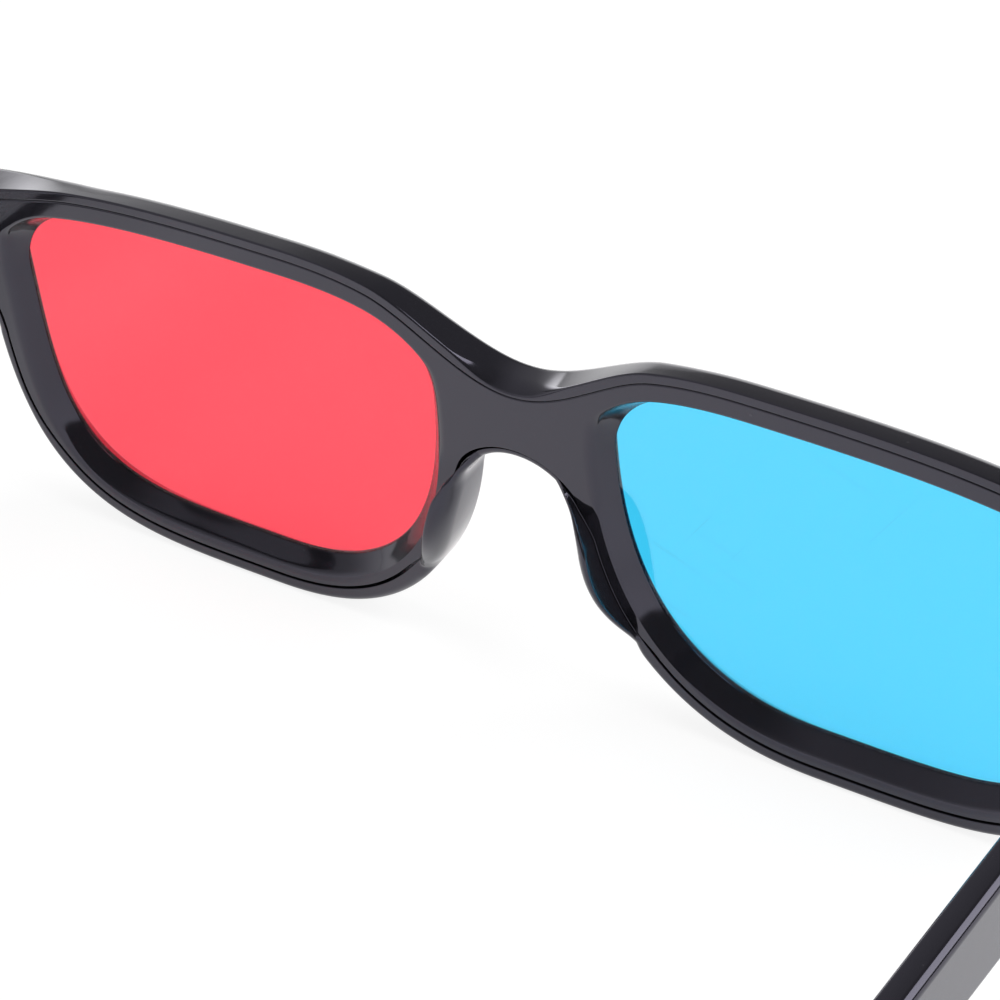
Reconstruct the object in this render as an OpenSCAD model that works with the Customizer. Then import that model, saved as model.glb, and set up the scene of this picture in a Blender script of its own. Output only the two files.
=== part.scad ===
// Two-colour viewing glasses with folding temples.
// Millimetres. +Z is up, +Y runs rearwards along the temples, +X is the wearer's left.
// The glasses stand on their lower rims and ear tips at Z = 0, centred over their footprint.

/* [Lenses] */
// Width of the visible lens
lens_w = 51.8; // [46:0.2:58]
// Height of the visible lens
lens_h = 39.5; // [34:0.1:44]
// Thickness of a lens
lens_t = 0.5; // [0.3:0.1:0.8]
// How far a lens reaches under the frame all round
lens_grip = 1.1; // [0.6:0.1:1.3]
// Free play round a lens in its recess
lens_play = 0.1; // [0.05:0.01:0.2]

/* [Front] */
// Gap between the two visible lenses at its narrowest
bridge_gap = 21.2; // [18:0.2:25]
// Distance from a visible lens to the hinge end of the front
end_l = 10.9; // [9:0.1:14]
// Overall thickness of the front
front_t = 4.8; // [4.2:0.1:6]
// Thickness of the rear plate, from the lens to the rear face
plate_t = 2.2; // [1.8:0.1:2.6]
// Rim above a lens opening
rim_top = 2.9; // [1.8:0.1:4]
// Rim beside a lens opening, towards the nose
rim_side = 2.9; // [2.6:0.1:4]
// Rim beside a lens opening, towards the temple
rim_out = 3.4; // [2.6:0.1:4.5]
// Rim below a lens opening
rim_low = 3.6; // [2.6:0.1:5]
// How far a lens opening widens towards the rear face
rear_flare = 1.7; // [0.8:0.1:2]
// How far it widens towards the rear face at its top
rear_flare_top = 1.2; // [0.6:0.1:1.8]
// How far a lens opening widens towards the front face
front_flare = 2.1; // [0.8:0.1:2.3]
// How far it widens towards the front face at its top
front_flare_top = 0.5; // [0.2:0.1:0.8]
// Straight lip of the front shell in front of a lens
lip_t = 0.2; // [0.1:0.1:0.5]
// Width of the front shell's edge round the rear plate
seam_w = 1.2; // [0.9:0.1:1.6]
// Width of that edge along the lower rims
seam_low = 1.9; // [1.2:0.1:2.2]
// Draft of that edge, from the rear face to its foot
seam_draft = 0.15; // [0.1:0.05:0.3]
// Free play of the rear plate inside that edge
plate_play = 0.05; // [0.02:0.01:0.1]
// Rounding of the front face's outer edge
front_round = 0.8; // [0.4:0.1:1.4]
// Rounding of that edge over the lenses
brow_round = 2.4; // [1:0.1:2.5]
// Drop of the top edge from the rear to the front over the lenses
brow_drop = 1.5; // [0:0.1:1.8]
// Rounding of the rear face's outer edge
rear_round = 0.5; // [0.2:0.1:0.7]

/* [Bridge and nose pads] */
// Depth of the dip over the bridge, below the top of the front
bridge_dip = 8.6; // [5:0.1:11]
// Height of the bridge at its middle
bridge_h = 9.5; // [7:0.1:11]
// Width of the front shell's edge along the arch of the bridge
arch_w = 0.9; // [0.7:0.1:1.4]
// How far that edge lies below the rear face
arch_step = 0.3; // [0:0.1:0.6]
// Drop from the arch of the bridge to the upper end of a nose pad
pad_drop = 4.0; // [3.6:0.1:6]
// Length of a nose pad
pad_len = 16.6; // [12:0.2:18]
// How far a nose pad stands behind the rear face
pad_rise = 3.5; // [1.5:0.1:4.5]
// Width of a nose pad at its upper end
pad_w = 2.6; // [2:0.1:2.9]
// Slope of the nose side, sideways over depth
pad_lean = 0.03; // [0:0.01:0.25]

/* [Ends and hinges] */
// Height of the front at its hinge ends
end_h = 12.1; // [11:0.1:14]
// Drop from the top of the front to the top of its hinge ends
end_drop = 5.6; // [4:0.1:8]
// Corner radius of the hinge ends
end_r = 1.8; // [1.5:0.1:3]
// Distance of the hinge axis behind the rear face
axis_back = 2.2; // [2:0.1:3]
// Radius of a hinge knuckle
knuckle_r = 1.5; // [1.3:0.1:1.7]
// Height of one hinge knuckle
knuckle_h = 2.4; // [2:0.1:3]
// Gap between two knuckles
knuckle_gap = 0.1; // [0.05:0.05:0.3]
// Radius of the hinge screw's shank
screw_r = 0.6; // [0.5:0.05:0.7]
// Distance from the hinge axis out to a temple's inner face
axis_in = 0.4; // [0.2:0.1:0.6]
// Width of the necks that carry the knuckles
neck_w = 1.6; // [1.2:0.1:2]
// Running clearance of the screw in the knuckles, on the radius
screw_play = 0.04; // [0.02:0.01:0.08]
// Radius of the hinge screw's head
screw_head_r = 1.15; // [1:0.05:1.3]
// Thickness of the hinge screw's head
screw_head_t = 0.6; // [0.4:0.1:1]
// Width of the slot in the head
slot_w = 0.35; // [0.25:0.05:0.5]
// Thickness of a hinge leaf
leaf_t = 1.0; // [0.8:0.1:1.2]
// Length of the leaf that the front holds
front_leaf_l = 5.2; // [4:0.1:5.6]
// Length of the leaf that a temple holds
temple_leaf_l = 12; // [8:0.5:16]
// Height of the leaf that a temple holds
temple_leaf_h = 6; // [4:0.1:7]
// Free play round a leaf in its pocket
leaf_play = 0.05; // [0.02:0.01:0.15]

/* [Temples] */
// Thickness of a temple
temple_t = 2.8; // [2.6:0.1:3.6]
// How far a temple's end is set in from the front's hinge end, above and below
temple_step = 0.5; // [0:0.1:1]
// Height of a temple where it starts to bend
temple_ear_h = 9.4; // [7:0.1:11]
// Length from the hinge axis to the ear bend
temple_straight = 98; // [80:1:110]
// Radius of the ear bend at the middle of the temple
ear_r = 38; // [25:1:60]
// Slope of the ear tip below level
ear_angle = 50; // [35:1:60]
// Slope of the temple below level
temple_fall = 2.5; // [0:0.1:5]
// Inward turn of an open temple
temple_splay = 6.7; // [0:0.1:8]
// Gap between an open temple and the front
end_gap = 0.3; // [0.2:0.05:0.6]
// Free space between a temple and the turning knuckles
knuckle_room = 0.3; // [0.2:0.05:0.5]

/* [Hidden] */
$fn = 48;

black = [0.06, 0.06, 0.07];
steel = [0.7, 0.71, 0.73];
red = [0.95, 0.12, 0.16, 0.6];
cyan = [0.15, 0.7, 0.95, 0.6];

// Places of the left lens
lens_in = bridge_gap / 2;
lens_out = lens_in + lens_w;
lens_low = rim_low + rear_flare;
lens_top = lens_low + lens_h;
// The lens is widest at this share of its height, highest and lowest at these shares of its width
lens_mid = lens_low + 0.81 * lens_h;
lens_crown = lens_in + 0.33 * lens_w;
lens_base = lens_in + 0.45 * lens_w;
// Squareness of its four corners
outer_top_e = 2.7;
inner_top_e = 2.5;
inner_low_e = 2.45;
outer_low_e = 4.2;

// Heights of the front
front_top = lens_top + rear_flare + rim_top;
bridge_z = front_top - bridge_dip;
arch_z = bridge_z - bridge_h;
pad_top = arch_z - pad_drop;
end_top = front_top - end_drop;
end_low = end_top - end_h;
end_x = lens_out + end_l;

// Stations on the lens edge, in degrees, where the outline joins the bridge, the arch and the ends
nose_at = 200;
side_at = 339;
end_at = 408;
brow_at = 486;
step = 3.5;

// Hinge: the outer corner of an open temple is flush with the end of the front
hinge_z = (end_top + end_low) / 2;
axis_x = end_x - (axis_in + temple_t) * cos(temple_splay) - (axis_back - end_gap) * sin(temple_splay);
temple_h = end_h - 2 * temple_step;
hinge_h = 3 * knuckle_h + 2 * knuckle_gap;
bore_r = screw_r + screw_play;

// Temple, measured along it from the hinge axis
bend_z = hinge_z - temple_straight * tan(temple_fall);
bend_end_s = temple_straight + ear_r * (sin(ear_angle) - sin(temple_fall));
bend_end_z = bend_z - ear_r * (cos(temple_fall) - cos(ear_angle));
tip_r = temple_ear_h / 2;
tip_l = (bend_end_z - tip_r) / sin(ear_angle);
tip_s = bend_end_s + tip_l * cos(ear_angle);

// The rear face of the front lies here, so that the origin is under the middle of the whole
rear_end = axis_back + (tip_s + tip_r) * cos(temple_splay)
    + (axis_in + temple_t) * sin(temple_splay);
face_y = -(rear_end - front_t) / 2;
eps = 0.01;

// A point of the visible lens edge: 0 temple side, 90 top, 180 nose side, 270 bottom
function lens_point(a) = let (
    c = cos(a), s = sin(a),
    cx = s >= 0 ? lens_crown : lens_base,
    rx = c >= 0 ? lens_out - cx : cx - lens_in,
    rz = s >= 0 ? lens_top - lens_mid : lens_mid - lens_low,
    e = s >= 0 ? (c >= 0 ? outer_top_e : inner_top_e) : (c >= 0 ? outer_low_e : inner_low_e),
    k = pow(pow(abs(c), e) + pow(abs(s), e), -1 / e)
) [cx + rx * k * c, lens_mid + rz * k * s];

function unit(v) = v / norm(v);
function outward(v) = [v[1], -v[0]];
function lens_tangent(a) = unit(lens_point(a + 0.5) - lens_point(a - 0.5));
function lens_offset(a, d) = lens_point(a) + d * outward(lens_tangent(a));
function lens_loop(d) = [for (a = [0 : step : 359]) lens_offset(a, d)];

// The rear or front edge of a lens opening, less wide towards its top
function open_w(n, low, top) = n[1] > 0 ? low + (top - low) * n[1] * n[1] : low;
function open_loop(low, top) = [for (a = [0 : step : 359])
    lens_offset(a, open_w(outward(lens_tangent(a)), low, top))];

// The rim round a lens, measured from the rear edge of its opening, for an outward direction
function rim(n) = (n[0] > 0 ? rim_out : rim_side) * n[0] * n[0] + (n[1] > 0 ? rim_top : rim_low) * n[1] * n[1];
function rim_point(a) = lens_offset(a, rear_flare + rim(outward(lens_tangent(a))));
function rim_run(from, to) = [for (i = [0 : round((to - from) / step)])
    rim_point(from + (to - from) * i / round((to - from) / step))];

// A smooth curve between two points, leaving along d0 and arriving along d1 with the given fullness
function blend(p0, d0, p1, d1, full, n) = let (m0 = full * norm(p1 - p0) * d0, m1 = full * norm(p1 - p0) * d1)
    [for (i = [1 : n - 1]) let (t = i / n)
        p0 * (1 - 3 * t * t + 2 * t * t * t) + p1 * (3 * t * t - 2 * t * t * t)
        + m0 * (t - 2 * t * t + t * t * t) + m1 * (t * t * t - t * t)];
function corner(c, from, n) = [for (i = [0 : n]) let (a = from + 90 * i / n) c + end_r * [cos(a), sin(a)]];

// Outline of the left half, from the arch round the lens to the top of the bridge
arch_run = concat([[0, arch_z]],
    blend([0, arch_z], [1, 0], rim_point(nose_at), lens_tangent(nose_at), 1.15, 8));
end_run = concat(
    blend(rim_point(side_at), lens_tangent(side_at), [end_x - end_r, end_low], [1, 0], 0.8, 5),
    corner([end_x - end_r, end_low + end_r], 270, 4),
    corner([end_x - end_r, end_top - end_r], 0, 4),
    blend([end_x - end_r, end_top], [-1, 0.07], rim_point(end_at), lens_tangent(end_at), 0.85, 5));
bridge_run = concat(
    blend(rim_point(brow_at), lens_tangent(brow_at), [0, bridge_z], [-1, 0], 0.92, 10), [[0, bridge_z]]);
top_run = rim_run(end_at, brow_at);
half_outline = concat(arch_run, rim_run(nose_at, side_at), end_run, top_run, bridge_run);
half_n = len(half_outline);

// Along the nose pad: 0 at its upper end, 1 at its lower end; only between the arch and the lowest rim
function pad_share(p) = (pad_top - p[1]) / pad_len;
function on_nose(i) = i < len(arch_run) + (270 - nose_at) / step;
function clamp01(v) = min(1, max(0, v));

// On the top edge: 1 over a lens, fading to 0 at the bridge and at the hinge ends
function ease(v) = let (t = clamp01(v)) t * t * (3 - 2 * t);
function on_top(i) = i >= half_n - len(bridge_run) - len(top_run) - 4;
function lens_share(i) = (half_outline[i][0] - lens_in) / lens_w;
function over_lens(i) = let (s = lens_share(i))
    on_top(i) ? ease((s + 0.08) / 0.17) * ease((1.08 - s) / 0.27) : 0;

// What each outline station carries: width of the shell's edge, height of that edge,
// slope of the wall, rounding of the front edge
function out_at(i) = outward(unit(half_outline[min(i + 1, half_n - 1)] - half_outline[max(i - 1, 0)]));
function seam_at(i) = seam_w + (seam_low - seam_w) * ease((-0.15 - out_at(i)[1]) / 0.5);
function edge_w(i) = let (s = pad_share(half_outline[i]), low_w = seam_at(i))
    !on_nose(i) ? low_w : s < 0 ? arch_w
    : low_w + (pad_w - low_w) * (1 - pow(clamp01(s), 3));
function edge_rise(i) = let (s = pad_share(half_outline[i]))
    !on_nose(i) ? 0 : s < 0 ? -arch_step : pad_rise * sin(180 * clamp01(s));
function wall_lean(i) = let (s = pad_share(half_outline[i]))
    on_nose(i) ? pad_lean * clamp01(1 + s) * clamp01(4 * (1.25 - s)) : -brow_drop / front_t * over_lens(i);
function edge_round(i) = front_round + (brow_round - front_round) * over_lens(i);
function station(i) = [half_outline[i], edge_w(i), edge_rise(i), wall_lean(i), edge_round(i)];

// The whole outline, anticlockwise as seen from the front with +X to the right
stations = concat([for (i = [0 : half_n - 1]) station(i)],
    [for (i = [half_n - 2 : -1 : 1]) let (s = station(i)) [[-s[0][0], s[0][1]], s[1], s[2], s[3], s[4]]]);
outline_n = len(stations);
function outline_in(i) = -outward(unit(
    stations[(i + 1) % outline_n][0] - stations[(i + outline_n - 1) % outline_n][0]));
function inset(i, d, y) = let (p = stations[i][0] + d * outline_in(i)) [p[0], y, p[1]];

// One ring of the front shell: how far inside the outline and how high, for each station
function shell_ring(k) = [for (i = [0 : outline_n - 1]) let (
    st = stations[i], w = st[1], rise = st[2], lean = st[3], round = st[4],
    d = [round - lean * front_t, 0.29 * round - lean * front_t, -lean * (front_t - round),
        lean * (rise - rear_round), lean * rise + rear_round, w, w + seam_draft],
    y = [-front_t, 0.29 * round - front_t, round - front_t,
        rise - rear_round, rise, min(0, rise), -plate_t]
) inset(i, d[k], y[k])];

// The rear plate's edge clears the foot of the shell's edge
function plate_edge(i) = stations[i][1] + seam_draft + plate_play;
plate_outline = [for (i = [0 : outline_n - 1]) let (p = inset(i, plate_edge(i), 0)) [p[0], p[2]]];

// Triangles that fill a flat outline, which runs anticlockwise and may be hollow in places
function turn(a, b, c) = (b[0] - a[0]) * (c[1] - a[1]) - (b[1] - a[1]) * (c[0] - a[0]);
function within(p, a, b, c) = turn(a, b, p) >= 0 && turn(b, c, p) >= 0 && turn(c, a, p) >= 0;
function near(ids, i, by) = ids[(i + by + len(ids)) % len(ids)];
function is_ear(pts, ids, i) = let (
    n = len(ids), a = pts[near(ids, i, -1)], b = pts[ids[i]], c = pts[near(ids, i, 1)]
) turn(a, b, c) > 0 && len([for (k = [2 : n - 2]) if (within(pts[near(ids, i, k)], a, b, c)) k]) == 0;
function first_ear(pts, ids, i) = i >= len(ids) - 1 || is_ear(pts, ids, i) ? i : first_ear(pts, ids, i + 1);
function fill(pts, ids, done = []) = len(ids) == 3 ? concat(done, [ids]) : let (i = first_ear(pts, ids, 0))
    fill(pts, [for (k = [0 : len(ids) - 1]) if (k != i) ids[k]],
        concat(done, [[near(ids, i, -1), ids[i], near(ids, i, 1)]]));
function fill_ring(ring) = fill([for (p = ring) [p[0], p[2]]], [for (i = [0 : len(ring) - 1]) i]);

// A closed solid through rings of points, from the front to the rear, each anticlockwise seen from the front
module loft(rings) {
    n = len(rings[0]);
    m = len(rings);
    polyhedron(
        points = [for (r = rings) for (p = r) p],
        faces = concat(
            [for (t = fill_ring(rings[0])) [t[2], t[1], t[0]]],
            [for (k = [0 : m - 2]) for (i = [0 : n - 1]) for (f = [
                [k * n + i, k * n + (i + 1) % n, (k + 1) * n + i],
                [k * n + (i + 1) % n, (k + 1) * n + (i + 1) % n, (k + 1) * n + i]]) f],
            [for (t = fill_ring(rings[m - 1])) [for (i = t) (m - 1) * n + i]]));
}

function raise(loop, y) = [for (p = loop) [p[0], y, p[1]]];

// A flat piece of the given outline whose rear side lies at y
module slab(outline, y, t) {
    translate([0, y, 0]) rotate([90, 0, 0]) linear_extrude(t) polygon(outline);
}

// Left half as drawn, or its mirror image
module side(left) {
    if (left) children();
    else mirror([1, 0, 0]) children();
}

// From the front's own plane to the place of the whole
module placed() {
    translate([0, face_y, 0]) children();
}

// A box between two corners
module block(low, high) {
    translate(low) cube(high - low);
}

// Things measured from the hinge axis, at the middle of its height
module at_hinge() {
    translate([axis_x, axis_back, hinge_z]) children();
}

module front_leaf_shape(play) {
    block([-front_leaf_l + knuckle_r - play, -axis_back - plate_t - leaf_t, -hinge_h / 2 - play],
        [knuckle_r + play, -axis_back - plate_t + (play > 0 ? eps : 0), hinge_h / 2 + play]);
}

module front_knuckle_place() {
    for (s = [-1, 1]) translate([0, 0, s * (hinge_h - knuckle_h) / 2]) children();
}

module front_neck(play) {
    block([-neck_w / 2 - play, -axis_back - plate_t - eps, -knuckle_h / 2 - play],
        [neck_w / 2 + play, play > 0 ? -axis_back + eps : 0, knuckle_h / 2 + play]);
}

module front_shell() {
    color(black) placed() difference() {
        loft([for (k = [0 : 6]) shell_ring(k)]);
        for (left = [true, false]) side(left) {
            slab(lens_loop(lens_grip + lens_play), -plate_t + eps, lens_t + eps);
            loft([raise(open_loop(front_flare, front_flare_top), -front_t - eps),
                raise(lens_loop(0), -plate_t - lens_t - lip_t), raise(lens_loop(0), -plate_t)]);
            at_hinge() front_leaf_shape(leaf_play);
        }
    }
}

module rear_plate() {
    color(black) placed() difference() {
        slab(plate_outline, 0, plate_t);
        for (left = [true, false]) side(left) {
            loft([raise(lens_loop(0), -plate_t - eps), raise(open_loop(rear_flare, rear_flare_top), eps)]);
            at_hinge() front_knuckle_place() front_neck(leaf_play);
        }
    }
}

module lens() {
    placed() slab(lens_loop(lens_grip), -plate_t, lens_t);
}

module red_lens() {
    color(red) lens();
}

module cyan_lens() {
    color(cyan) side(false) lens();
}

module knuckle() {
    difference() {
        cylinder(h = knuckle_h, r = knuckle_r, center = true);
        cylinder(h = hinge_h, r = bore_r, center = true);
    }
}

module front_hinge_leaf(left) {
    color(steel) placed() side(left) at_hinge() {
        front_leaf_shape(0);
        difference() {
            front_knuckle_place() front_neck(0);
            cylinder(h = 2 * hinge_h, r = (knuckle_r + bore_r) / 2, center = true);
        }
        front_knuckle_place() knuckle();
    }
}

module temple_leaf_shape(play) {
    block([axis_in, knuckle_r + knuckle_room, -temple_leaf_h / 2 - play],
        [axis_in + leaf_t, knuckle_r + knuckle_room + temple_leaf_l + play, temple_leaf_h / 2 + play]);
}

module temple_hinge_leaf(left) {
    color(steel) placed() side(left) at_hinge() rotate(temple_splay) {
        temple_leaf_shape(0);
        difference() {
            block([0, 0, -knuckle_h / 2],
                [axis_in + leaf_t, knuckle_r + knuckle_room + leaf_t, knuckle_h / 2]);
            cylinder(h = hinge_h, r = (knuckle_r + bore_r) / 2, center = true);
        }
        knuckle();
    }
}

module hinge_screw(left) {
    color(steel) placed() side(left) at_hinge() difference() {
        union() {
            translate([0, 0, -hinge_h / 2]) cylinder(h = hinge_h + eps, r = screw_r);
            translate([0, 0, hinge_h / 2]) cylinder(h = screw_head_t, r = screw_head_r);
        }
        translate([0, 0, hinge_h / 2 + screw_head_t])
            cube([3 * screw_head_r, slot_w, screw_head_t], center = true);
    }
}

// Side outline of a temple, [distance from the axis, height above the hinge]
function temple_line(s) = [[s, -s * tan(temple_fall)], temple_fall,
    temple_h + (temple_ear_h - temple_h) * clamp01(s / temple_straight)];
bend_run = [for (i = [0 : 12]) let (a = temple_fall + (ear_angle - temple_fall) * i / 12)
    [[temple_straight + ear_r * (sin(a) - sin(temple_fall)),
        bend_z - hinge_z - ear_r * (cos(temple_fall) - cos(a))], a, temple_ear_h]];
spine = concat([temple_line(-axis_back), temple_line(0)], bend_run,
    [[[tip_s, bend_end_z - hinge_z - tip_l * sin(ear_angle)], ear_angle, temple_ear_h]]);
function spine_edge(p, up) = p[0] + up * p[2] / 2 * [sin(p[1]), cos(p[1])];
tip_angles = concat([for (i = [1 : 9]) 90 - ear_angle - (180 - ear_angle) * i / 9],
    [for (i = [1 : 3]) -90 - ear_angle * i / 4]);
tip_run = [for (a = tip_angles) spine[len(spine) - 1][0] + tip_r * [cos(a), sin(a)]];
temple_outline = concat([for (p = spine) spine_edge(p, 1)], tip_run,
    [for (i = [len(spine) - 1 : -1 : 0]) spine_edge(spine[i], -1)]);

module temple(left) {
    color(black) placed() side(left) difference() {
        at_hinge() rotate(temple_splay) difference() {
            translate([axis_in, 0, 0]) rotate([90, 0, 90])
                linear_extrude(temple_t) polygon(temple_outline);
            temple_leaf_shape(leaf_play);
            block([0, 0, -knuckle_h / 2 - leaf_play],
                [axis_in + leaf_t, knuckle_r + knuckle_room + leaf_t, knuckle_h / 2 + leaf_play]);
            cylinder(h = hinge_h + 2 * knuckle_room, r = knuckle_r + knuckle_room, center = true);
            block([-knuckle_r, -2 * axis_back, -hinge_h / 2 - knuckle_room],
                [neck_w / 2 + knuckle_room, 0, hinge_h / 2 + knuckle_room]);
            translate([0, 0, hinge_h / 2])
                cylinder(h = screw_head_t + knuckle_room, r = screw_head_r + knuckle_room);
        }
        block([0, -front_t, 0], [2 * end_x, end_gap, front_top]);
    }
}

front_shell();
rear_plate();
red_lens();
cyan_lens();
front_hinge_leaf(true);  // left_front_hinge_leaf
front_hinge_leaf(false);  // right_front_hinge_leaf
temple_hinge_leaf(true);  // left_temple_hinge_leaf
temple_hinge_leaf(false);  // right_temple_hinge_leaf
hinge_screw(true);  // left_hinge_screw
hinge_screw(false);  // right_hinge_screw
temple(true);  // left_temple
temple(false);  // right_temple
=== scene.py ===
import math

import bpy
import bmesh
import numpy as np
from mathutils import Matrix, Vector
from mathutils.geometry import delaunay_2d_cdt

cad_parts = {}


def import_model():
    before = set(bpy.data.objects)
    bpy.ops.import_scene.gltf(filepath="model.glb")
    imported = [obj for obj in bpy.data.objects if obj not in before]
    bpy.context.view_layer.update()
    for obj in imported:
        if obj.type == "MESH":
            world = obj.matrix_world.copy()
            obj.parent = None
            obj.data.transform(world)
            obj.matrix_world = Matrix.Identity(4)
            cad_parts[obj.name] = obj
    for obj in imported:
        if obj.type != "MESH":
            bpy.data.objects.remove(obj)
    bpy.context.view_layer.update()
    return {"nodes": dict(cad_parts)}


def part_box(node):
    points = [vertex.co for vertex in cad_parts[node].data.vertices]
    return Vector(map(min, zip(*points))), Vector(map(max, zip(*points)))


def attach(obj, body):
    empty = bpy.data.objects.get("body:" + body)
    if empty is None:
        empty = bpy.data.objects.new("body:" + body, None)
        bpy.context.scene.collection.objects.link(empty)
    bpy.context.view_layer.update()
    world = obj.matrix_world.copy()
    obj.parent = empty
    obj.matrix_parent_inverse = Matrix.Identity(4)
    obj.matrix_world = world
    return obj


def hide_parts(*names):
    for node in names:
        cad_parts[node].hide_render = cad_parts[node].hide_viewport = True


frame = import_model()
nodes = frame["nodes"]

# Sizes of the glasses in millimetres, the same as in the part's source
LENS_W, LENS_H, LENS_T = 51.8, 39.5, 0.5
LENS_GRIP, LENS_PLAY = 1.1, 0.1
BRIDGE_GAP, END_L = 21.2, 10.9
FRONT_T, PLATE_T = 4.8, 2.2
RIM_TOP, RIM_SIDE, RIM_OUT, RIM_LOW = 2.9, 2.9, 3.4, 3.6
REAR_FLARE, REAR_FLARE_TOP, FRONT_FLARE, FRONT_FLARE_TOP, LIP_T = 1.7, 1.2, 2.1, 0.5, 0.2
SEAM_W, SEAM_LOW, FRONT_ROUND, REAR_ROUND = 1.2, 1.9, 0.8, 0.25
BROW_ROUND, BROW_DROP = 2.4, 1.5
BRIDGE_DIP, BRIDGE_H, ARCH_W, ARCH_STEP = 8.6, 9.5, 0.9, 0.3
PAD_DROP, PAD_LEN, PAD_RISE, PAD_W, PAD_LEAN, PAD_SPREAD = 4.0, 16.6, 3.5, 2.6, 0.03, 0.15
END_H, END_DROP, END_R = 12.1, 5.6, 1.8
AXIS_BACK, AXIS_IN, KNUCKLE_R, KNUCKLE_H, KNUCKLE_GAP = 2.2, 0.4, 1.5, 2.4, 0.1
NECK_W, LEAF_T, LEAF_L, LEAF_H, LEAF_PLAY = 1.6, 1.0, 12.0, 6.0, 0.05
HEAD_R, HEAD_T, ROOM, END_GAP = 1.15, 0.6, 0.3, 0.3
TEMPLE_T, TEMPLE_STEP, EAR_H = 2.8, 0.5, 9.4
STRAIGHT, EAR_R, EAR_ANGLE, FALL, SPLAY = 98.0, 38.0, 50.0, 2.5, 6.7
TEMPLE_CORNER_R, TEMPLE_IN_R, TEMPLE_OUT_R = 1.3, 0.45, 0.95

# Form of a lens: where its widest line, crown and base lie, and how square its four corners are
LENS_MID, LENS_CROWN, LENS_BASE = 0.81, 0.33, 0.45
SQUARE_UP_OUT, SQUARE_UP_IN, SQUARE_LOW_OUT, SQUARE_LOW_IN = 2.7, 2.5, 4.2, 2.45

# How the front's edge changes along its outline: runs in millimetres, ends and fades in lens widths
BROW_IN, BROW_RUN, BROW_END, BROW_FADE = 1.0, 22.0, 1.09, 0.33
ROUND_LEAST, ROUND_RUN, ROUND_END, ROUND_FADE = 0.3, 20.0, 1.14, 0.36
CROWN_FROM, CROWN_RUN, CROWN_DEEP, CROWN_WIDE = 7.0, 5.5, 2.0, 1.0
TOP_SINK, BEAD_R, EDGE_R, EDGE_R_LOW, EDGE_R_MOST = 0.05, 0.7, 0.45, 0.4, 0.78

# Nose pads: shares of their width, height and length, then lengths in millimetres
PAD_SEAM, PAD_HIGH, PAD_BLEND, PAD_BEFORE, ARCH_BLEND = 0.66, 0.95, 0.24, 0.15, 0.1
PAD_DEEP, PAD_CREST, PAD_TIP_R, PAD_TIP_RUN = 3.0, 0.3, 0.2, 0.8
PAD_WALL_TOP, PAD_WALL_LOW = 30.0, 6.5

# Seam between shell and plate, and the openings in the plate
SEAM_LIP, SEAM_GAP, SEAM_GAP_LOW, BEAD_GAP = 0.07, 0.01, 0.04, 0.3
PLATE_R, PLATE_R_MORE, FILLET, FILLET_LESS, FILLET_PAD = 0.08, 0.14, 0.8, 0.5, 0.04
CORNER_R, CORNER_REAR, FOOT_PLAY = 9.0, 0.5, 0.03

# Points along the outline: degrees between points round a lens, and points on each curve
STEP, CURVE_N, SIDE_N, END_N, ARC_N, LENS_N = 0.5, 60, 24, 40, 20, 720
SHARP = 38

# Derived places
lens_in = BRIDGE_GAP / 2
lens_out = lens_in + LENS_W
lens_low = RIM_LOW + REAR_FLARE
lens_top = lens_low + LENS_H
lens_mid = lens_low + LENS_MID * LENS_H
lens_crown = lens_in + LENS_CROWN * LENS_W
lens_base = lens_in + LENS_BASE * LENS_W
front_top = lens_top + REAR_FLARE + RIM_TOP
bridge_z = front_top - BRIDGE_DIP
arch_z = bridge_z - BRIDGE_H
pad_top = arch_z - PAD_DROP
end_top = front_top - END_DROP
end_low = end_top - END_H
end_x = lens_out + END_L
hinge_z = (end_top + end_low) / 2
hinge_h = 3 * KNUCKLE_H + 2 * KNUCKLE_GAP
temple_h = END_H - 2 * TEMPLE_STEP
splay = math.radians(SPLAY)
axis_x = end_x - (AXIS_IN + TEMPLE_T) * math.cos(splay) - (AXIS_BACK - END_GAP) * math.sin(splay)
# Angles round a lens at which the outline leaves the rim for the nose, the end, the brow and the bridge
NOSE_AT, SIDE_AT, END_AT, BROW_AT = 200, 339, 408, 486
face_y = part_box("rear_plate")[1].y * 1000


def rad(a):
    return np.radians(a)


def lens_point(a):
    """Points of the visible lens edge: 0 temple side, 90 top, 180 nose side, 270 bottom."""
    a = np.asarray(a, float)
    c, s = np.cos(rad(a)), np.sin(rad(a))
    up, out = s >= 0, c >= 0
    cx = np.where(up, lens_crown, lens_base)
    rx = np.where(out, lens_out - cx, cx - lens_in)
    rz = np.where(up, lens_top - lens_mid, lens_mid - lens_low)
    e = np.where(up, np.where(out, SQUARE_UP_OUT, SQUARE_UP_IN), np.where(out, SQUARE_LOW_OUT, SQUARE_LOW_IN))
    k = (np.abs(c) ** e + np.abs(s) ** e) ** (-1 / e)
    return np.stack([cx + rx * k * c, lens_mid + rz * k * s], -1)


def unit(v):
    return v / np.linalg.norm(v, axis=-1, keepdims=True)


def outward(t):
    return np.stack([t[..., 1], -t[..., 0]], -1)


def lens_tangent(a):
    a = np.asarray(a, float)
    return unit(lens_point(a + 0.5) - lens_point(a - 0.5))


def lens_offset(a, d):
    d = np.asarray(d, float)
    return lens_point(a) + (d[..., None] if d.ndim else d) * outward(lens_tangent(a))


def rim(n):
    beside = np.where(n[..., 0] > 0, RIM_OUT, RIM_SIDE)
    return beside * n[..., 0] ** 2 + np.where(n[..., 1] > 0, RIM_TOP, RIM_LOW) * n[..., 1] ** 2


def rim_point(a):
    return lens_offset(a, REAR_FLARE + rim(outward(lens_tangent(a))))


def run(start, stop, step):
    return np.linspace(start, stop, int(round((stop - start) / step)) + 1)


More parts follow.
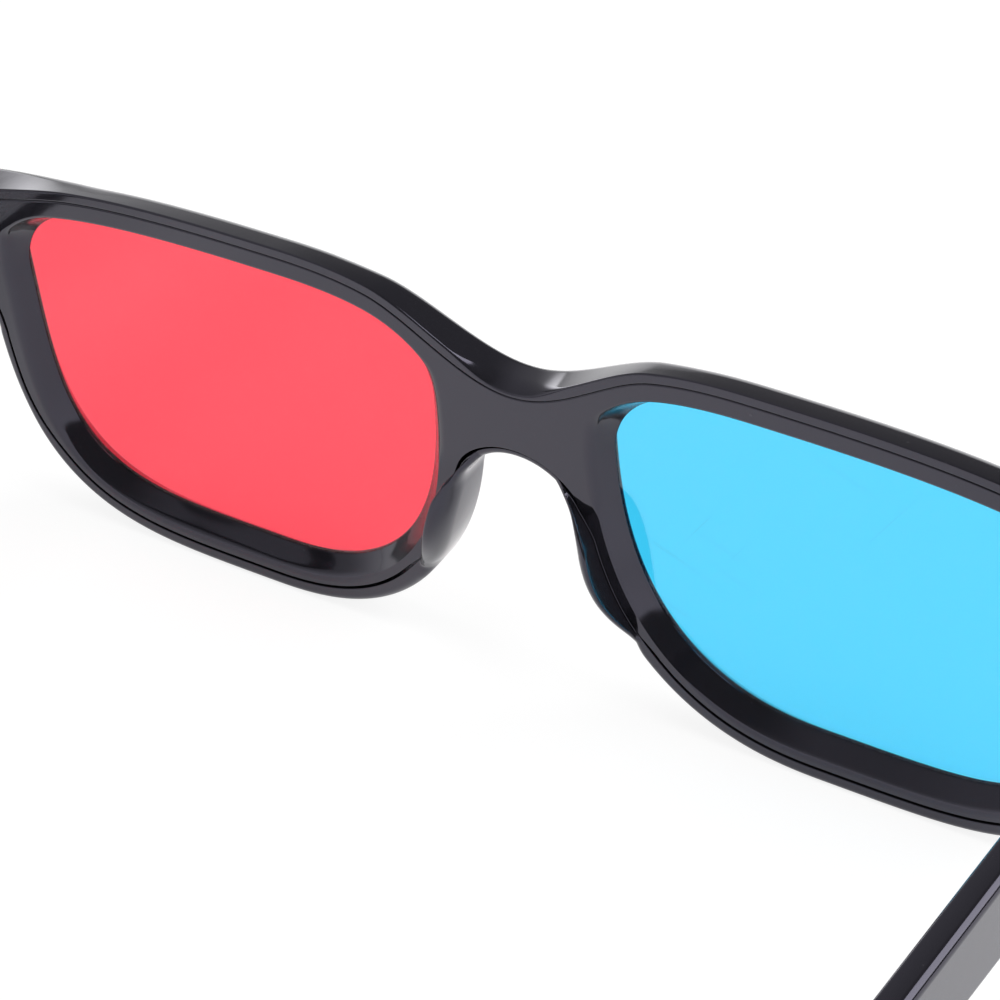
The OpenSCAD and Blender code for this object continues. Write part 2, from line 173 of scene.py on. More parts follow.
def curve(p0, d0, p1, d1, full, n):
    """A smooth curve between two points without its ends."""
    p0, d0, p1, d1 = (np.asarray(v, float) for v in (p0, d0, p1, d1))
    m = full * np.linalg.norm(p1 - p0)
    t = (np.arange(1, n) / n)[:, None]
    return (p0 * (1 - 3 * t ** 2 + 2 * t ** 3) + p1 * (3 * t ** 2 - 2 * t ** 3)
            + m * d0 * (t - 2 * t ** 2 + t ** 3) + m * d1 * (t ** 3 - t ** 2))


def arc(c, r, start, stop, n):
    a = rad(np.linspace(start, stop, n))
    return np.asarray(c, float) + r * np.stack([np.cos(a), np.sin(a)], -1)


def ease(v):
    """A smooth step from 0 to 1."""
    t = np.clip(v, 0, 1)
    return t * t * (3 - 2 * t)


def quarter(n):
    """Sines and cosines of n angles from 0 to 90 degrees."""
    return [(math.sin(math.radians(f)), math.cos(math.radians(f))) for f in np.linspace(0, 90, n)]


# Outline of the front, from the arch round one lens to the bridge and back round the other
arch_run = np.vstack([
    [[0, arch_z]],
    curve([0, arch_z], [1, 0], rim_point(NOSE_AT), lens_tangent(NOSE_AT), 1.15, CURVE_N)])
low_run = rim_point(run(NOSE_AT, SIDE_AT, STEP))
end_run = np.vstack([
    curve(rim_point(SIDE_AT), lens_tangent(SIDE_AT), [end_x - END_R, end_low], [1, 0], 0.8, SIDE_N),
    arc([end_x - END_R, end_low + END_R], END_R, 270, 360, ARC_N),
    arc([end_x - END_R, end_top - END_R], END_R, 0, 90, ARC_N),
    curve([end_x - END_R, end_top], [-1, 0.07], rim_point(END_AT), lens_tangent(END_AT), 0.85, END_N)])
top_run = rim_point(run(END_AT, BROW_AT, STEP))
bridge_run = np.vstack([
    curve(rim_point(BROW_AT), lens_tangent(BROW_AT), [0, bridge_z], [-1, 0], 0.92, CURVE_N),
    [[0, bridge_z]]])
half = np.vstack([arch_run, low_run, end_run, top_run, bridge_run])
half_x = half[:, 0]
on_nose = np.arange(len(half)) < len(arch_run) + (270 - NOSE_AT) / STEP
on_top = np.arange(len(half)) >= len(half) - len(bridge_run) - len(top_run) - END_N
facing = outward(unit(np.gradient(half, axis=0)))

# The brow slopes and is rounder over the lenses, and the bridge has a soft crown
along = (half_x - lens_in) / LENS_W
over = np.where(on_top, ease((half_x + BROW_IN) / BROW_RUN) * ease((BROW_END - along) / BROW_FADE), 0)
round_top = np.where(on_top, (ROUND_LEAST + (1 - ROUND_LEAST) * ease(half_x / ROUND_RUN))
                     * ease((ROUND_END - along) / ROUND_FADE), 0)
front_r = FRONT_ROUND + (BROW_ROUND - FRONT_ROUND) * round_top
crown = np.where(on_top, ease((CROWN_FROM - half_x) / CROWN_RUN), 0)

# The edge behind is wider below, and swells into the nose pads: share is 0 at their upper end and 1 below
share = (pad_top - half[:, 1]) / PAD_LEN
seam = SEAM_W + (SEAM_LOW - SEAM_W) * ease((-0.15 - facing[:, 1]) / 0.5)
pad_w = seam + (PAD_SEAM * PAD_W - seam) * (1 - np.clip(share, 0, 1) ** 3)
edge_w = np.where(on_nose, ARCH_W + (pad_w - ARCH_W) * ease(share / PAD_BLEND), seam)
lift = np.clip((share + PAD_BEFORE) / (1 + PAD_BEFORE), 0, 1)
pad_rise = PAD_HIGH * PAD_RISE * np.sin(np.pi * lift) - ARCH_STEP * (1 - ease(share / ARCH_BLEND))
rise = np.where(on_nose, pad_rise, -TOP_SINK * ease(facing[:, 1] / 0.4))
lean = np.where(on_nose, PAD_LEAN * np.clip(1 + share, 0, 1) * np.clip(4 * (1.25 - share), 0, 1),
                -BROW_DROP / FRONT_T * over)
on_pad = np.where(on_nose, ease((share + 0.1) / 0.2) * ease((1.1 - share) / 0.2), 0)


def whole(values):
    """Values of the left half, followed by those of its mirror image."""
    return np.concatenate([values, values[-2:0:-1]])


outline = np.vstack([half, half[-2:0:-1] * [-1, 1]])
edge_w, rise, lean, front_r, crown, on_pad = map(whole, (edge_w, rise, lean, front_r, crown, on_pad))
inward = -outward(unit(np.roll(outline, -1, 0) - np.roll(outline, 1, 0)))
# 0 on the upper edges, 1 on the lower ones, where the shell's edge is a rounder bead and the seam is wider
lower = ease((0.3 + inward[:, 1]) / 0.6)


def inset(d, y):
    """The outline moved inwards by d, at depth y behind the plate's face."""
    p = outline + np.broadcast_to(d, len(outline))[:, None] * inward
    return np.stack([p[:, 0], np.broadcast_to(y, len(outline)) + face_y, p[:, 1]], -1)


LENS_A = np.linspace(0, 360, LENS_N, endpoint=False)
lens_n = outward(lens_tangent(LENS_A))
lens_up = np.maximum(lens_n[:, 1], 0)
front_flare = FRONT_FLARE + (FRONT_FLARE_TOP - FRONT_FLARE) * ease(1.5 * lens_up)


def rounding(points, normals, r):
    """How far the points of a closed outline lie outside the discs of radius r that fit in it."""
    centres = points - r * normals
    room = np.linalg.norm(centres[:, None] - points, axis=-1).min(1)
    rel = points[:, None] - centres[room > r - 0.02]
    along = np.sum(rel * normals[:, None], -1)
    reach = r * r - np.sum(rel ** 2, -1) + along ** 2
    return np.maximum(np.where(reach > 0, along - np.sqrt(np.maximum(reach, 0)), np.inf).min(1), 0)


# The rear opening is rounder than the lens seat at its two upper corners
pull = rounding(lens_point(LENS_A), lens_n, CORNER_R)
rear_flare = REAR_FLARE + (REAR_FLARE_TOP - REAR_FLARE) * lens_up ** 2 - CORNER_REAR * pull
rear_foot = FOOT_PLAY - pull


def lens_ring(d, y, mirror=False):
    """The lens edge moved outwards by d, at depth y behind the plate's face."""
    p = lens_offset(LENS_A, np.broadcast_to(np.asarray(d, float), LENS_A.shape))
    p = np.stack([p[:, 0], np.broadcast_to(y, LENS_A.shape) + face_y, p[:, 1]], -1)
    return p[::-1] * [-1, 1, 1] if mirror else p


class Solid:
    """Collects rings of points, strips between them and flat faces with holes, in millimetres."""

    def __init__(self):
        self.points, self.faces = [], []

    def ring(self, pts):
        first = len(self.points)
        self.points.extend(map(tuple, pts))
        return list(range(first, first + len(pts)))

    def strip(self, a, b):
        n = len(a)
        for i in range(n):
            j = (i + 1) % n
            self.faces.append((a[i], a[j], b[j], b[i]))

    def strips(self, rings):
        made = [self.ring(r) for r in rings]
        for a, b in zip(made, made[1:]):
            self.strip(a, b)
        return made[0], made[-1]

    def flat(self, outer, holes, axes, flip):
        """A flat face inside the outer ring and outside the holes, in the plane of the two axes."""
        ids = list(outer) + [i for h in holes for i in h]
        loops = [outer] + list(holes)
        xy = [Vector((self.points[i][axes[0]], self.points[i][axes[1]])) for i in ids]
        edges, at = [], 0
        for loop in loops:
            n = len(loop)
            edges += [(at + i, at + (i + 1) % n) for i in range(n)]
            at += n
        verts, _, tris, orig, _, _ = delaunay_2d_cdt(xy, edges, [], 0, 1e-7)
        back = [o[0] for o in orig]
        mid = np.array([[(verts[t[0]] + verts[t[1]] + verts[t[2]]) / 3] for t in tris]).reshape(-1, 2)
        keep = self.within(mid, [self.points[i] for i in outer], axes)
        for h in holes:
            keep &= ~self.within(mid, [self.points[i] for i in h], axes)
        for t, k in zip(tris, keep):
            if k:
                f = [ids[back[i]] for i in t]
                self.faces.append(tuple(f[::-1] if flip else f))

    @staticmethod
    def within(p, loop, axes):
        q = np.array(loop)[:, axes]
        r = np.roll(q, -1, 0)
        found = np.zeros(len(p), bool)
        for (ax, ay), (bx, by) in zip(q, r):
            if ay != by:
                between = (ay > p[:, 1]) != (by > p[:, 1])
                found ^= between & (p[:, 0] < (bx - ax) * (p[:, 1] - ay) / (by - ay) + ax)
        return found

    def build(self, name):
        mesh = bpy.data.meshes.new(name)
        mesh.from_pydata([Vector(p) * 0.001 for p in self.points], [], self.faces)
        bm = bmesh.new()
        bm.from_mesh(mesh)
        bmesh.ops.remove_doubles(bm, verts=bm.verts, dist=1e-7)
        bmesh.ops.dissolve_degenerate(bm, edges=bm.edges, dist=1e-8)
        bmesh.ops.recalc_face_normals(bm, faces=bm.faces)
        bm.to_mesh(mesh)
        bm.free()
        mesh.shade_smooth()
        mesh.set_sharp_from_angle(angle=math.radians(SHARP))
        obj = bpy.data.objects.new(name, mesh)
        bpy.context.scene.collection.objects.link(obj)
        return obj


# Front shell: outer edge from the front face over the rim and pads to the seam
def shell():
    s = Solid()
    rings = [inset(front_r + 0.04 - lean * FRONT_T, -FRONT_T)]
    for sin, cos in quarter(9):
        y = -FRONT_T + front_r * (1 - cos)
        rings.append(inset(front_r * (1 - sin) + lean * y, y))
    r = np.minimum(REAR_ROUND + BEAD_R * lower, EDGE_R * edge_w + EDGE_R_LOW * lower)
    r = np.minimum(r, EDGE_R_MOST * edge_w)
    deep = r + (CROWN_DEEP - r) * crown
    wide = r + (CROWN_WIDE - r) * crown
    deep = deep + (PAD_DEEP - deep) * on_pad
    wide = wide + (np.maximum(edge_w - PAD_CREST, wide) - wide) * on_pad
    root = np.minimum(rise, 0)
    high = np.maximum(rise, 0.01)
    tip = PAD_TIP_R * on_pad * ease(high / PAD_TIP_RUN)

    def spread(y):
        """How far a pad's side leans over towards the lens at height y."""
        return PAD_SPREAD * on_pad * np.maximum(y, 0) ** 1.5 / high ** 0.5

    for sin, cos in quarter(12):
        y = rise - deep * (1 - sin)
        rings.append(inset(wide * (1 - cos) + lean * y + spread(y), y))
    crest = wide + lean * rise + spread(rise)
    for sin, cos in quarter(4)[1:]:
        rings.append(inset(crest + tip * sin, rise - tip * (1 - cos)))
    inner = edge_w - SEAM_LIP
    crest = crest + tip
    for t in (0.1, 0.3, 0.5, 0.7, 0.9, 1.0):
        across = np.where(on_pad > 0, inner - crest, np.maximum(inner - crest, 0.01))
        rings.append(inset(crest + across * t, rise - tip + (root - rise + tip) * t))
    rings.append(inset(edge_w - 0.025, root - 0.03))
    rings.append(inset(edge_w, root - 0.4))
    rings.append(inset(edge_w + 0.01, -PLATE_T))
    front_edge, foot = s.strips(rings)
    front_holes, floor_holes = [], []
    seat = -PLATE_T - LENS_T
    lip = seat - LIP_T
    grip = LENS_GRIP + LENS_PLAY
    steps = [(grip, -PLATE_T), (grip, seat), (0.08, seat), (0, seat - 0.06), (0, lip)]
    steps += [(front_flare * t, lip + (-FRONT_T - lip) * t) for t in (0.06, 0.5, 0.94)]
    steps += [(front_flare, -FRONT_T), (front_flare + 0.02, -FRONT_T)]
    for mirror in (False, True):
        top, bottom = s.strips([lens_ring(d, y, mirror) for d, y in steps])
        floor_holes.append(top)
        front_holes.append(bottom)
    s.flat(front_edge, front_holes, (0, 2), False)
    s.flat(foot, floor_holes, (0, 2), True)
    return s.build("front_frame")


# Rear plate: outer edge, flat face, and the flared openings down to the lenses
def plate():
    s = Solid()
    d0 = edge_w + SEAM_GAP + SEAM_GAP_LOW * lower + BEAD_GAP * lower * (1 - on_pad)
    soft = PLATE_R + PLATE_R_MORE * (1 - lower)
    rings = [inset(d0 + 0.02, -PLATE_T), inset(d0, -PLATE_T + 0.02)]
    for sin, cos in quarter(8):
        rings.append(inset(d0 + soft * (1 - cos), -soft * (1 - sin)))
    rings.append(inset(d0 + soft + 0.04, 0))
    under, edge = s.strips(rings)
    holes, seats = [], []
    lens_z = lens_point(LENS_A)[:, 1]
    by_pad = ease((PAD_WALL_TOP - lens_z) / 3) * ease((lens_z - PAD_WALL_LOW) / 4)
    by_pad = by_pad * ease((-lens_n[:, 0] - 0.15) / 0.3)
    fillet = FILLET - FILLET_LESS * ease((lens_n[:, 1] - 0.2) / 0.6)
    fillet = fillet + (FILLET_PAD - fillet) * by_pad
    wall = unit(np.stack([rear_flare - 0.06, np.full(len(LENS_A), PLATE_T - 0.1)], -1))
    steps = [(rear_flare + fillet + 0.03, 0)]
    for t in np.linspace(0, 1, 8):
        d = rear_flare + fillet * (1 - t) ** 2 - fillet * wall[:, 0] * t * t
        steps.append((d, -fillet * wall[:, 1] * t * t))
    steps.append((0.5 * (rear_flare + rear_foot), -0.5 * PLATE_T))
    steps += [(rear_foot + d, y - PLATE_T) for d, y in ((0.06, 0.14), (0.02, 0.1), (0, 0.06), (0, 0))]
    for mirror in (False, True):
        top, bottom = s.strips([lens_ring(d, y, mirror) for d, y in steps])
        holes.append(top)
        seats.append(bottom)
    s.flat(edge, holes, (0, 2), True)
    s.flat(under, seats, (0, 2), False)
    return s.build("rear_frame")


# Temples: a flat bar with rounded edges that bends down behind the ear
def temple_outline():
    fall, ear = math.radians(FALL), math.radians(EAR_ANGLE)
    bend_z = -STRAIGHT * math.tan(fall)
    a = np.linspace(fall, ear, 40)
    bend = np.stack([STRAIGHT + EAR_R * (np.sin(a) - math.sin(fall)),
                     bend_z - EAR_R * (math.cos(fall) - np.cos(a))], -1)
    tip_r = EAR_H / 2
    tip_l = (hinge_z + bend[-1, 1] - tip_r) / math.sin(ear)
    tip = bend[-1] + tip_l * np.array([math.cos(ear), -math.sin(ear)])
    start = -(AXIS_BACK - END_GAP) / math.cos(splay) + (AXIS_IN + TEMPLE_T) * math.tan(splay)
    line = np.linspace(start, STRAIGHT, 60)[:-1]
    mids = np.vstack([np.stack([line, -line * math.tan(fall)], -1), bend,
                      bend[-1] + np.linspace(0, 1, 12)[1:, None] * (tip - bend[-1])])
    slope = np.concatenate([np.full(len(line), fall), a, np.full(11, ear)])
    taper = temple_h + (EAR_H - temple_h) * np.clip(mids[:, 0] / STRAIGHT, 0, 1)
    high = np.where(mids[:, 0] < STRAIGHT, taper, EAR_H)
    side = np.stack([np.sin(slope), np.cos(slope)], -1) * high[:, None] / 2
    top, low = mids + side, mids - side
    r = TEMPLE_CORNER_R
    corner_top = arc(top[0] + [r, -r], r, 180, 90, 8)
    corner_low = arc(low[0] + [r, r], r, 270, 180, 8)
    round_tip = arc(tip, tip_r, 90 - EAR_ANGLE, -90 - EAR_ANGLE, 41)[1:-1]
    keep_top, keep_low = top[:, 0] > top[0, 0] + r, low[:, 0] > low[0, 0] + r
    return np.vstack([corner_top, top[keep_top], round_tip, low[keep_low][::-1], corner_low])


def temple_body():
    path = temple_outline()
    ahead = unit(np.roll(path, -1, 0) - np.roll(path, 1, 0))
    normal = outward(ahead) * -1
    if np.sum(path[:, 0] * np.roll(path[:, 1], -1) - path[:, 1] * np.roll(path[:, 0], -1)) < 0:
        normal = -normal
    s = Solid()

    def ring(d, t):
        p = path + d * normal
        return np.stack([np.full(len(p), AXIS_IN + t), p[:, 0], p[:, 1]], -1)

    rings = [ring(TEMPLE_IN_R + 0.05, 0)]
    for sin, cos in quarter(7):
        rings.append(ring(TEMPLE_IN_R * (1 - sin), TEMPLE_IN_R * (1 - cos)))
    for sin, cos in quarter(9):
        rings.append(ring(TEMPLE_OUT_R * (1 - cos), TEMPLE_T - TEMPLE_OUT_R * (1 - sin)))
    rings.append(ring(TEMPLE_OUT_R + 0.05, TEMPLE_T))
    a, b = s.strips(rings)
    s.flat(a, [], (1, 2), True)
    s.flat(b, [], (1, 2), False)
    return s.build("temple_body")


def cut_with(obj, add):
    """Cuts from obj the closed mesh that add makes in a bmesh, in millimetres."""
    bm = bmesh.new()
    add(bm)
    bmesh.ops.scale(bm, vec=(0.001,) * 3, verts=bm.verts)
    bmesh.ops.recalc_face_normals(bm, faces=bm.faces)
    mesh = bpy.data.meshes.new("cut")
    bm.to_mesh(mesh)
    bm.free()
    tool = bpy.data.objects.new("cut", mesh)
    bpy.context.scene.collection.objects.link(tool)
    mod = obj.modifiers.new("cut", "BOOLEAN")
    mod.operation, mod.solver, mod.object = "DIFFERENCE", "EXACT", tool
    bpy.context.view_layer.update()
    made = bpy.data.meshes.new_from_object(obj.evaluated_get(bpy.context.evaluated_depsgraph_get()))
    obj.modifiers.clear()
    old, obj.data = obj.data, made
    bpy.data.meshes.remove(old)
    bpy.data.objects.remove(tool)


def add_box(low, high):
    low, high = Vector(low), Vector(high)

    def add(bm):
        made = bmesh.ops.create_cube(bm, size=1)
        bmesh.ops.scale(bm, vec=high - low, verts=made["verts"])
        bmesh.ops.translate(bm, vec=(low + high) / 2, verts=made["verts"])
    return add


def add_rod(r, z0, z1):
    def add(bm):
        made = bmesh.ops.create_cone(bm, cap_ends=True, segments=96, radius1=r, radius2=r, depth=z1 - z0)
        bmesh.ops.translate(bm, vec=(0, 0, (z0 + z1) / 2), verts=made["verts"])
    return add


def temples():
    body = temple_body()
    reach = KNUCKLE_R + ROOM
    leaf_z = LEAF_H / 2 + LEAF_PLAY
    knuckle_z = KNUCKLE_H / 2 + LEAF_PLAY
    hinge_top = hinge_h / 2 + ROOM
    # Room for the leaf, its knuckle, the whole hinge, its necks and the screw's head
    leaf_x, leaf_y = AXIS_IN + LEAF_T, reach + LEAF_L + LEAF_PLAY
    cut_with(body, add_box((AXIS_IN - 1, reach, -leaf_z), (leaf_x, leaf_y, leaf_z)))
    cut_with(body, add_box((0, 0, -knuckle_z), (leaf_x, reach + LEAF_T, knuckle_z)))
    cut_with(body, add_rod(reach, -hinge_top, hinge_top))
    cut_with(body, add_box((-KNUCKLE_R, -2 * AXIS_BACK, -hinge_top), (NECK_W / 2 + ROOM, 0, hinge_top)))
    cut_with(body, add_rod(HEAD_R + ROOM, hinge_h / 2, hinge_h / 2 + HEAD_T + ROOM))
    axis = Vector((axis_x, face_y + AXIS_BACK, hinge_z)) * 0.001
    place = Matrix.Translation(axis) @ Matrix.Rotation(splay, 4, "Z")
    mesh = body.data
    mesh.transform(place)
    mesh.shade_smooth()
    mesh.set_sharp_from_angle(angle=math.radians(SHARP))
    other = mesh.copy()
    other.transform(Matrix.Diagonal((-1, 1, 1, 1)))
    other.flip_normals()
    body.name = "left_temple_bar"
    mirror = bpy.data.objects.new("right_temple_bar", other)
    bpy.context.scene.collection.objects.link(mirror)
    return body, mirror


# Materials
def material(name):
    m = bpy.data.materials.new(name)
    m.use_nodes = True
    tree = m.node_tree
    tree.nodes.clear()
    out = tree.nodes.new("ShaderNodeOutputMaterial")
    bsdf = tree.nodes.new("ShaderNodeBsdfPrincipled")
    tree.links.new(bsdf.outputs[0], out.inputs["Surface"])
    coord = tree.nodes.new("ShaderNodeTexCoord")
    return m, tree, bsdf, coord.outputs["Object"]


def noise(tree, coord, scale, detail=3, rough=0.5, stretch=None):
    if stretch:
        mp = tree.nodes.new("ShaderNodeMapping")
        mp.inputs["Scale"].default_value = stretch
        tree.links.new(coord, mp.inputs["Vector"])
        coord = mp.outputs[0]
    n = tree.nodes.new("ShaderNodeTexNoise")
    n.inputs["Scale"].default_value = scale
    n.inputs["Detail"].default_value = detail
    n.inputs["Roughness"].default_value = rough
    tree.links.new(coord, n.inputs["Vector"])
    return n.outputs["Fac"]


def ramp(tree, fac, stops):
    r = tree.nodes.new("ShaderNodeValToRGB")
    el = r.color_ramp.elements
    while len(el) < len(stops):
        el.new(0.5)
    for e, (pos, col) in zip(el, stops):
        e.position = pos
        e.color = (*col, 1) if len(col) == 3 else col
    tree.links.new(fac, r.inputs["Fac"])
    return r.outputs["Color"]


def grey(v):
    return (v, v, v)


def math_node(tree, op, a, b):
    n = tree.nodes.new("ShaderNodeMath")
    n.operation = op
    for i, v in enumerate((a, b)):
        if isinstance(v, (int, float)):
            n.inputs[i].default_value = v
        else:
            tree.links.new(v, n.inputs[i])
    return n.outputs[0]


def bump(tree, bsdf, height, strength, distance):
    b = tree.nodes.new("ShaderNodeBump")
    b.inputs["Strength"].default_value = strength
    b.inputs["Distance"].default_value = distance
    tree.links.new(height, b.inputs["Height"])
    tree.links.new(b.outputs[0], bsdf.inputs["Normal"])


def black_plastic():
    m, tree, bsdf, coord = material("gloss_black_plastic")
    dust = ramp(tree, noise(tree, coord, 2600, 2), [
        (0.0, (0.011, 0.0105, 0.0135)), (0.76, (0.012, 0.0115, 0.0145)), (0.82, (0.10, 0.10, 0.11))])
    tree.links.new(dust, bsdf.inputs["Base Color"])
    smear = ramp(tree, noise(tree, coord, 90, 5, 0.6), [(0.3, grey(0.07)), (0.75, grey(0.13))])
    tree.links.new(smear, bsdf.inputs["Roughness"])
    bsdf.inputs["IOR"].default_value = 1.58
    bsdf.inputs["Specular Tint"].default_value = (0.82, 0.785, 1.0, 1)
    bump(tree, bsdf, noise(tree, coord, 420, 2), 0.03, 0.0002)
    return m


def scratches(tree, coord, turn, across):
    """Fine straight hairlines in the plane of a lens."""
    mp = tree.nodes.new("ShaderNodeMapping")
    mp.inputs["Rotation"].default_value = (0, math.radians(turn), 0)
    tree.links.new(coord, mp.inputs["Vector"])
    line = noise(tree, mp.outputs[0], 1, 1, 0.4, (45, 1, across))
    return ramp(tree, line, [(0.70, grey(0)), (0.76, grey(1))])


def film(name, colour, dark):
    """Clear coloured film with darker hairline scratches in patches."""
    m, tree, bsdf, coord = material(name)
    mark = math_node(tree, "MAXIMUM", scratches(tree, coord, 24, 2400), scratches(tree, coord, -57, 2900))
    patches = ramp(tree, noise(tree, coord, 60, 2), [(0.45, grey(0)), (0.7, grey(1))])
    mark = math_node(tree, "MULTIPLY", mark, patches)
    mix = tree.nodes.new("ShaderNodeMix")
    mix.data_type = "RGBA"
    mix.inputs[6].default_value = (*colour, 1)
    mix.inputs[7].default_value = (*dark, 1)
    tree.links.new(mark, mix.inputs[0])
    tree.links.new(mix.outputs[2], bsdf.inputs["Base Color"])
    rough = math_node(tree, "MULTIPLY", mark, 0.1)
    tree.links.new(rough, bsdf.inputs["Roughness"])
    bsdf.inputs["Transmission Weight"].default_value = 1.0
    bsdf.inputs["IOR"].default_value = 1.6
    return m


def bright_steel():
    m, tree, bsdf, coord = material("bright_steel")
    tone = ramp(tree, noise(tree, coord, 300, 4, 0.6, (1, 1, 12)), [
        (0.3, (0.55, 0.55, 0.56)), (0.7, (0.68, 0.68, 0.69))])
    tree.links.new(tone, bsdf.inputs["Base Color"])
    rough = ramp(tree, noise(tree, coord, 500, 4, 0.6, (1, 1, 15)), [(0.3, grey(0.2)), (0.7, grey(0.36))])
    tree.links.new(rough, bsdf.inputs["Roughness"])
    bsdf.inputs["Metallic"].default_value = 1.0
    bump(tree, bsdf, noise(tree, coord, 900, 3, 0.6, (1, 1, 15)), 0.05, 0.0001)
    return m


def dress(obj, mat):
    obj.data.materials.clear()
    obj.data.materials.append(mat)


black = black_plastic()
red = film("red_film", (1.0, 0.025, 0.062), (0.85, 0.025, 0.06))
cyan = film("cyan_film", (0.045, 0.62, 0.97), (0.035, 0.5, 0.82))
steel = bright_steel()

front_frame = shell()
rear_frame = plate()
left_bar, right_bar = temples()
for obj, node, body in ((front_frame, "front_shell", "front"), (rear_frame, "rear_plate", "front"),
                        (left_bar, "left_temple", "left_arm"), (right_bar, "right_temple", "right_arm")):
    dress(obj, black)
    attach(obj, body)
    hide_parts(node)
dress(nodes["red_lens"], red)
dress(nodes["cyan_lens"], cyan)
for side in ("left", "right"):
    for piece in ("front_hinge_leaf", "temple_hinge_leaf", "hinge_screw"):
        node = nodes[side + "_" + piece]
        dress(node, steel)
        mod = node.modifiers.new("edges", "BEVEL")
        mod.width, mod.segments, mod.limit_method = 0.00012, 2, "ANGLE"
        mod.angle_limit = math.radians(40)


# Floor, light and camera
def link_mix(tree, fac, first, second):
    mix = tree.nodes.new("ShaderNodeMixShader")
    tree.links.new(fac, mix.inputs[0])
    tree.links.new(first, mix.inputs[1])
    tree.links.new(second, mix.inputs[2])
    return mix.outputs[0]


def span(tree, value, start, stop, low, high):
    n = tree.nodes.new("ShaderNodeMapRange")
    n.interpolation_type = "SMOOTHSTEP"
    tree.links.new(value, n.inputs["Value"])
    for key, v in zip(("From Min", "From Max", "To Min", "To Max"), (start, stop, low, high)):
        n.inputs[key].default_value = v
    return n.outputs[0]


def floor():
    """A white floor: bright to the eye and through the lenses, with its true shadows in reflections."""
    mesh = bpy.data.meshes.new("floor")
    reach = 4
    corners = [(-reach, -reach, 0), (reach, -reach, 0), (reach, reach, 0), (-reach, reach, 0)]
    mesh.from_pydata(corners, [], [(0, 1, 2, 3)])
    obj = bpy.data.objects.new("floor", mesh)
    bpy.context.scene.collection.objects.link(obj)
    m = bpy.data.materials.new("white_floor")
    m.use_nodes = True
    tree = m.node_tree
    tree.nodes.clear()
    out = tree.nodes.new("ShaderNodeOutputMaterial")

    def paper(shade, strength):
        diffuse = tree.nodes.new("ShaderNodeBsdfDiffuse")
        diffuse.inputs["Color"].default_value = (shade, shade, shade, 1)
        glow = tree.nodes.new("ShaderNodeEmission")
        glow.inputs["Strength"].default_value = strength
        both = tree.nodes.new("ShaderNodeAddShader")
        tree.links.new(diffuse.outputs[0], both.inputs[0])
        tree.links.new(glow.outputs[0], both.inputs[1])
        return both.outputs[0]

    plain = tree.nodes.new("ShaderNodeBsdfDiffuse")
    plain.inputs["Color"].default_value = (0.85, 0.85, 0.85, 1)
    path = tree.nodes.new("ShaderNodeLightPath")
    seen = math_node(tree, "MAXIMUM", path.outputs["Is Camera Ray"], path.outputs["Is Transmission Ray"])
    shader = link_mix(tree, path.outputs["Is Glossy Ray"], plain.outputs[0], paper(0.9, 0.25))
    shader = link_mix(tree, seen, shader, paper(0.16, 0.87))
    tree.links.new(shader, out.inputs["Surface"])
    mesh.materials.append(m)


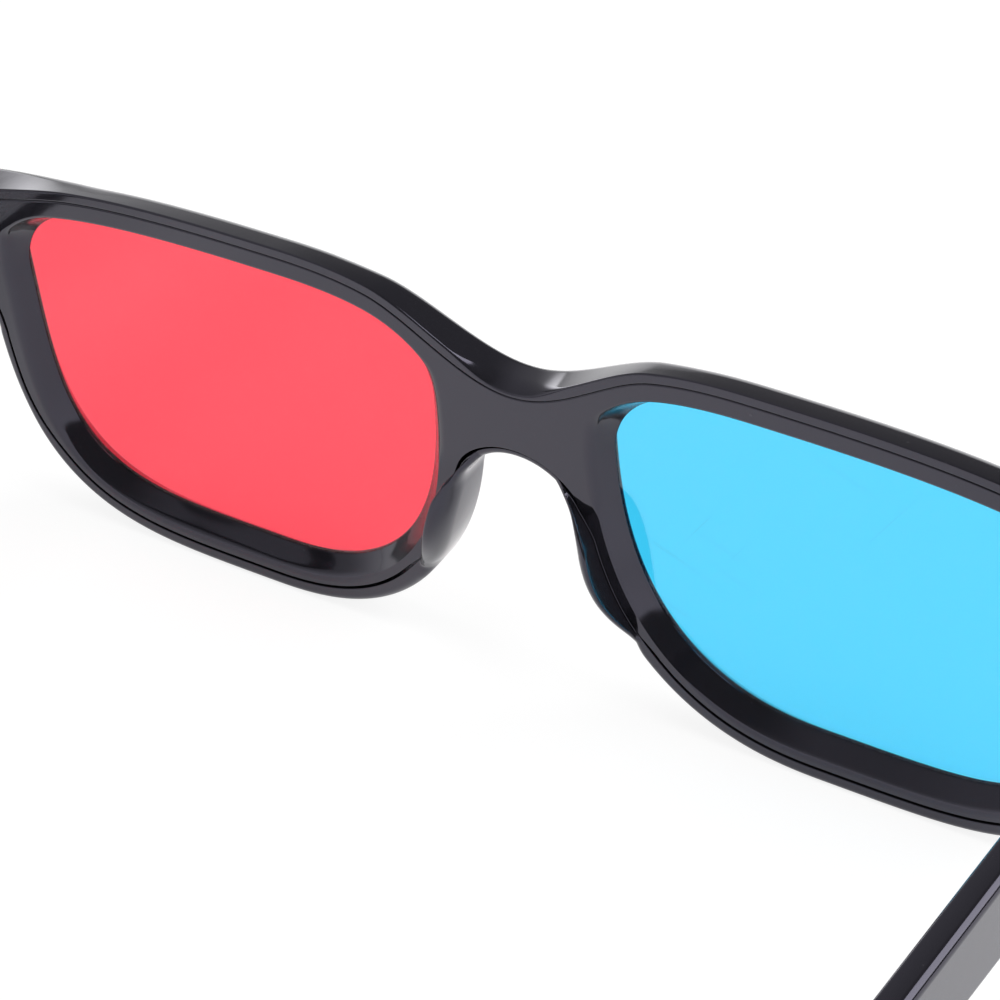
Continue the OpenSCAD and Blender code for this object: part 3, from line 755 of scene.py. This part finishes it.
def world():
    """A studio that is bright low on the wearer's left, with a window in front, and dark on the right."""
    w = bpy.data.worlds.new("studio")
    bpy.context.scene.world = w
    w.use_nodes = True
    tree = w.node_tree
    tree.nodes.clear()
    out = tree.nodes.new("ShaderNodeOutputWorld")
    coord = tree.nodes.new("ShaderNodeTexCoord")
    axis = tree.nodes.new("ShaderNodeSeparateXYZ")
    tree.links.new(coord.outputs["Generated"], axis.inputs[0])

    def towards(azimuth):
        along = math_node(tree, "MULTIPLY", axis.outputs["X"], math.cos(math.radians(azimuth)))
        across = math_node(tree, "MULTIPLY", axis.outputs["Y"], math.sin(math.radians(azimuth)))
        return math_node(tree, "ADD", along, across)

    side = math_node(tree, "MULTIPLY", span(tree, axis.outputs["X"], -0.1, 0.55, 0, 1),
                     span(tree, axis.outputs["Z"], 0, 0.42, 1.25, 0.5))
    side = math_node(tree, "MULTIPLY", side, span(tree, towards(-90), 0.72, 0.9, 1, 0.15))
    window = math_node(tree, "MULTIPLY", span(tree, towards(-31), 0.95, 0.995, 0, 4.2),
                       span(tree, axis.outputs["Z"], 0.05, 0.35, 1, 0))
    level = math_node(tree, "ADD", side, window)
    level = math_node(tree, "ADD", level, 0.1)
    dim = tree.nodes.new("ShaderNodeBackground")
    tree.links.new(level, dim.inputs["Strength"])
    white = tree.nodes.new("ShaderNodeBackground")
    white.inputs["Color"].default_value = (1, 1, 1, 1)
    path = tree.nodes.new("ShaderNodeLightPath")
    shader = link_mix(tree, path.outputs["Is Camera Ray"], dim.outputs[0], white.outputs[0])
    tree.links.new(shader, out.inputs["Surface"])


def softbox(name, direction, distance, size, power):
    lamp = bpy.data.lights.new(name, "AREA")
    lamp.shape = "RECTANGLE"
    lamp.size, lamp.size_y = size
    lamp.energy = power
    obj = bpy.data.objects.new(name, lamp)
    way = Vector(direction).normalized()
    obj.location = Vector((0, face_y * 0.001, 0.025)) + way * distance
    obj.rotation_mode = "QUATERNION"
    obj.rotation_quaternion = way.to_track_quat("Z", "Y")
    bpy.context.scene.collection.objects.link(obj)
    return obj


def camera():
    yaw, lift, roll = math.radians(34.46), math.radians(41.64), math.radians(-5.75)
    focal_px, frame_px, distance = 3050.0, 1000.0, 0.312
    aim = Vector((0.00229, face_y * 0.001, 0.02506))
    right = Vector((-math.cos(yaw), -math.sin(yaw), 0))
    up = Vector((math.sin(lift) * math.sin(yaw), -math.sin(lift) * math.cos(yaw), math.cos(lift)))
    back = right.cross(up)
    x = right * math.cos(roll) + up * math.sin(roll)
    y = up * math.cos(roll) - right * math.sin(roll)
    cam = bpy.data.cameras.new("camera")
    cam.sensor_width = 36.0
    cam.lens = cam.sensor_width * focal_px / frame_px
    cam.clip_start, cam.clip_end = 0.005, 50
    obj = bpy.data.objects.new("camera", cam)
    turn = Matrix((x, y, back)).transposed().to_4x4()
    obj.matrix_world = Matrix.Translation(aim + back * distance) @ turn
    bpy.context.scene.collection.objects.link(obj)
    bpy.context.scene.camera = obj


floor()
world()
softbox("key_softbox", direction=(-0.76, -0.20, 0.62), distance=1.1, size=(1.0, 1.0), power=14.0)
fill = softbox("overhead_fill", direction=(0.1, 0.1, 1.0), distance=1.2, size=(0.6, 0.6), power=6.5)
fill.visible_glossy = False
camera()
bpy.context.scene.view_settings.view_transform = "Standard"
